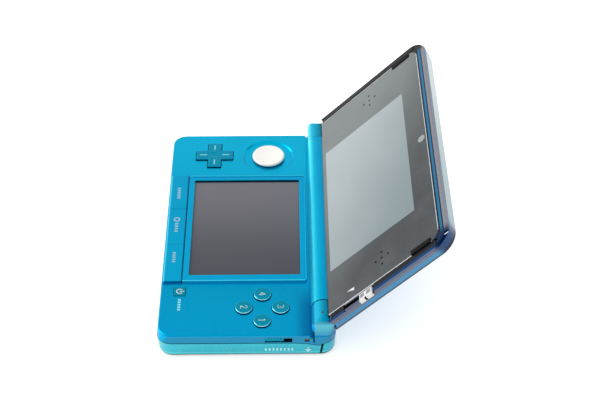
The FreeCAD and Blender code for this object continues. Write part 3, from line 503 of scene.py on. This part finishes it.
dress(plastic("board_green", (0.02, 0.10, 0.05), 0.45), "main_board")
dress(plastic("battery_grey", (0.05, 0.052, 0.056), 0.5), "battery")
dress(plastic("display_glass", (0.10, 0.11, 0.11), 0.2),
      "lower_display", "upper_display", "parallax_barrier")
dress(metal("tin", (0.62, 0.62, 0.64), 0.35),
      "card_slot", "memory_card_socket", "wireless_module", "speakers")
dress(metal("steel", (0.5, 0.5, 0.52), 0.25),
      "case_screws", "hinge_unit", "hinge_pin", "shoulder_pins", "shoulder_springs")
dress(metal("gold", (0.8, 0.6, 0.25), 0.25), "charge_contacts", "display_flex")
dress(plastic("lamp_lens", (0.05, 0.008, 0.014), 0.15, coat=0.5), "status_lamps", "ir_window")
dress(plastic("lens_black", (0.006, 0.006, 0.008), 0.08, coat=1.0), "inner_camera", "rear_cameras")


# ------------------------------------------------------------------ prints, small mouldings, and painted highlights and shadows
INK = plastic("pale_print", (0.62, 0.66, 0.68), 0.5, grain=0.0001, depth=0.000001).material
WORD_INK = plastic("dim_print", (0.27, 0.44, 0.53), 0.5, grain=0.0001, depth=0.000001).material
TEAL_INK = plastic("aqua_print", (0.20, 0.62, 0.70), 0.5, grain=0.0001, depth=0.000001).material
SIDE_INK = plastic("side_print", (0.32, 0.66, 0.70), 0.5, grain=0.0001, depth=0.000001).material
BLACK = plastic("black_trim", (0.004, 0.004, 0.006), 0.35, depth=0.000002, shine=0.12).material
# White for painted highlights.
GLINT_WHITE = plastic("white_glint", (0.85, 0.87, 0.88), 0.3, depth=0.000002).material
SMOKE = plastic("smoke_grey", (0.22, 0.23, 0.25), 0.3, depth=0.000002).material

# Lowest and highest level of the print on each surface; it starts just below the surface.
ON_CROSS = (12.49, 12.52)
ON_BUTTON = (12.53, 12.57)
ON_STRIP = (12.79, 12.84)
ON_POWER_KEY = (11.98, 12.03)
ON_DECK = (11.68, 11.72)
ON_SIDE = (66.55, 66.75)
ON_LID = (2.44, 2.47)

CROSS_CENTRE = Vector((-50.5, -16.5))
bars = []
for turn in range(4):
    direction = Vector((math.cos(turn * math.pi / 2), math.sin(turn * math.pi / 2)))
    bars += stroke([tuple(CROSS_CENTRE + direction * reach) for reach in (3.8, 6.6)], 0.5)
relief("dpad_bars", "dpad", TOP, bars, *ON_CROSS, TEAL_INK)

DIGITS = {"1": [(-0.5, 1.1), (0.1, 1.6), (0.1, -1.6)],
          "2": [(-0.9, 0.9), (-0.6, 1.5), (0.4, 1.6), (0.9, 1.0), (0.7, 0.3), (-0.9, -1.6), (1.0, -1.6)],
          "3": [(-0.8, 1.3), (0.0, 1.6), (0.8, 1.2), (0.7, 0.4), (0.0, 0.1), (0.8, -0.4), (0.8, -1.2),
                (0.0, -1.6), (-0.9, -1.3)],
          "4": [(0.5, -1.6), (0.5, 1.6), (-0.9, -0.6), (1.1, -0.6)]}
DIGIT_SCALE, DIGIT_STROKE = 0.85, 0.26
BUTTONS_X, BUTTONS_Y, BUTTON_REACH = 50.2, 6.8, 7.7
BUTTONS = {"right": (1, 0, "1"), "front": (0, -1, "2"), "rear": (0, 1, "3"), "left": (-1, 0, "4")}
for side, (way_x, way_y, digit) in BUTTONS.items():
    x, y = BUTTONS_X + BUTTON_REACH * way_x, BUTTONS_Y + BUTTON_REACH * way_y
    line = stroke([(x + DIGIT_SCALE * u, y + DIGIT_SCALE * v) for u, v in DIGITS[digit]], DIGIT_STROKE)
    relief("digit_" + side, "face_button_" + side, TOP, line, *ON_BUTTON, INK)

STRIP_ROW, STRIP_SHARE = (-32.4, -31.0), 0.55
left_word = dashes(-26.2, -18.2, *STRIP_ROW, 6, STRIP_SHARE)
middle_word = arc(-4.5, -31.7, 1.15, 0.6) + dashes(-2.1, 4.3, *STRIP_ROW, 4, STRIP_SHARE)
right_word = dashes(16.9, 23.7, *STRIP_ROW, 5, STRIP_SHARE)
for side, word in (("left", left_word), ("middle", middle_word), ("right", right_word)):
    relief(side + "_key_mark", "strip_key_" + side, TOP, word, *ON_STRIP, WORD_INK)

POWER_X, POWER_Y, POWER_BAR_HALF = 40.2, -28.2, 0.17
standby = arc(POWER_X, POWER_Y, 1.3, 0.35, 130, 410)
standby.append(quad(POWER_X - POWER_BAR_HALF, POWER_Y, POWER_X + POWER_BAR_HALF, POWER_Y + 1.9))
relief("power_ring", "power_key", TOP, standby, *ON_POWER_KEY, INK)
relief("power_label", "base", TOP, dashes(44.5, 51.7, -28.7, -27.5, 5), *ON_DECK, TEAL_INK)

arrow = [[(24.2, 4.4), (27.2, 4.4), (25.7, 2.6)], quad(25.3, 4.7, 26.1, 5.3)]
relief("side_label", "base", NEAR_SIDE, dashes(7.9, 20.4, 3.5, 5.0, 8, 0.5) + arrow, *ON_SIDE, SIDE_INK)
relief("depth_wedge", "lid", LID, [[(57.6, 14.9), (59.3, 19.0), (57.6, 19.0)]], *ON_LID, INK)

# Black strips beside the panel: one piece on the left, broken by the depth slider on the right.
RIM_IN, RIM_OUT, RIM_START, RIM_END = 63.15, 66.05, 5.3, 62.4
right_strips = [quad(RIM_IN, RIM_START, RIM_OUT, 12.6), quad(RIM_IN, 29.6, RIM_OUT, RIM_END)]
left_strip = [(-RIM_OUT, RIM_START), (-RIM_IN, RIM_START), (-RIM_IN, RIM_END), (-RIM_IN - 0.4, 63.1),
              (-RIM_OUT + 0.4, 63.1), (-RIM_OUT, RIM_END)]
relief("rim_strip_right", "lid", LID, right_strips, 1.9, 2.3, BLACK, 0.1)
relief("rim_strip_left", "lid", LID, [left_strip], 1.9, 2.62, BLACK, 0.1)

TAB_START, TAB_END, TAB_IN, TAB_OUT = 21.6, 28.4, 64.3, 68.4
silver = plastic("slider_silver", (0.62, 0.62, 0.60), 0.3).material
cap = ([quad(TAB_IN, TAB_START, TAB_OUT, TAB_END)], 2.0, 2.75)
lip = ([quad(67.6, TAB_START, TAB_OUT, TAB_END)], 1.2, 2.1)
neck = ([quad(TAB_IN, TAB_START, 65.4, TAB_END)], 0.2, 2.1)
foot = ([quad(61.2, TAB_START, 64.9, TAB_END)], -0.45, 0.3)
slider = slabs("depth_slider_tab", "depth_slider", LID, [cap, lip, neck, foot], silver, 0.12)
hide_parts("depth_slider")
windows = [quad(64.8, 22.1, 66.7, 24.3), quad(64.8, 25.5, 66.7, 27.8)]
relief("slider_windows", "depth_slider", LID, windows, 2.7, 2.79, SMOKE)
# A black block painted as the shade inside the notch on the slider's outer face.
relief("slider_notch_shade", "depth_slider", LID, [quad(67.65, 24.5, 68.47, 25.4)], 1.4, 2.79, BLACK)

# Painted highlight along the panel's edge beside the near bumper.
relief("bumper_edge_glint", "lid", LID, [quad(60.75, 50.3, 60.95, 60.2)], 2.44, 2.75, GLINT_WHITE)
# A black strip painted as the shadow along the far edge of the lower screen's window.
relief("window_edge_shadow", "base", TOP, [quad(-31.3, -24.8, -30.9, 22.9)], 12.0, 12.1, BLACK)

CAMERA_S, CAMERA_RADIUS, CAMERA_SIDES = 61.7, 1.9, 24
angles = [math.radians(360 / CAMERA_SIDES * k) for k in range(CAMERA_SIDES)]
disc = [(CAMERA_RADIUS * math.cos(angle), CAMERA_S + CAMERA_RADIUS * math.sin(angle)) for angle in angles]
camera_glass = plastic("camera_glass", (0.26, 0.28, 0.29), 0.15, depth=0.000001).material
relief("camera_disc", "lid", LID, [disc], *ON_LID, camera_glass)
relief("corner_glint", "lid", LID, [quad(64.2, 67.3, 64.5, 69.25)], 2.46, 2.52, GLINT_WHITE)
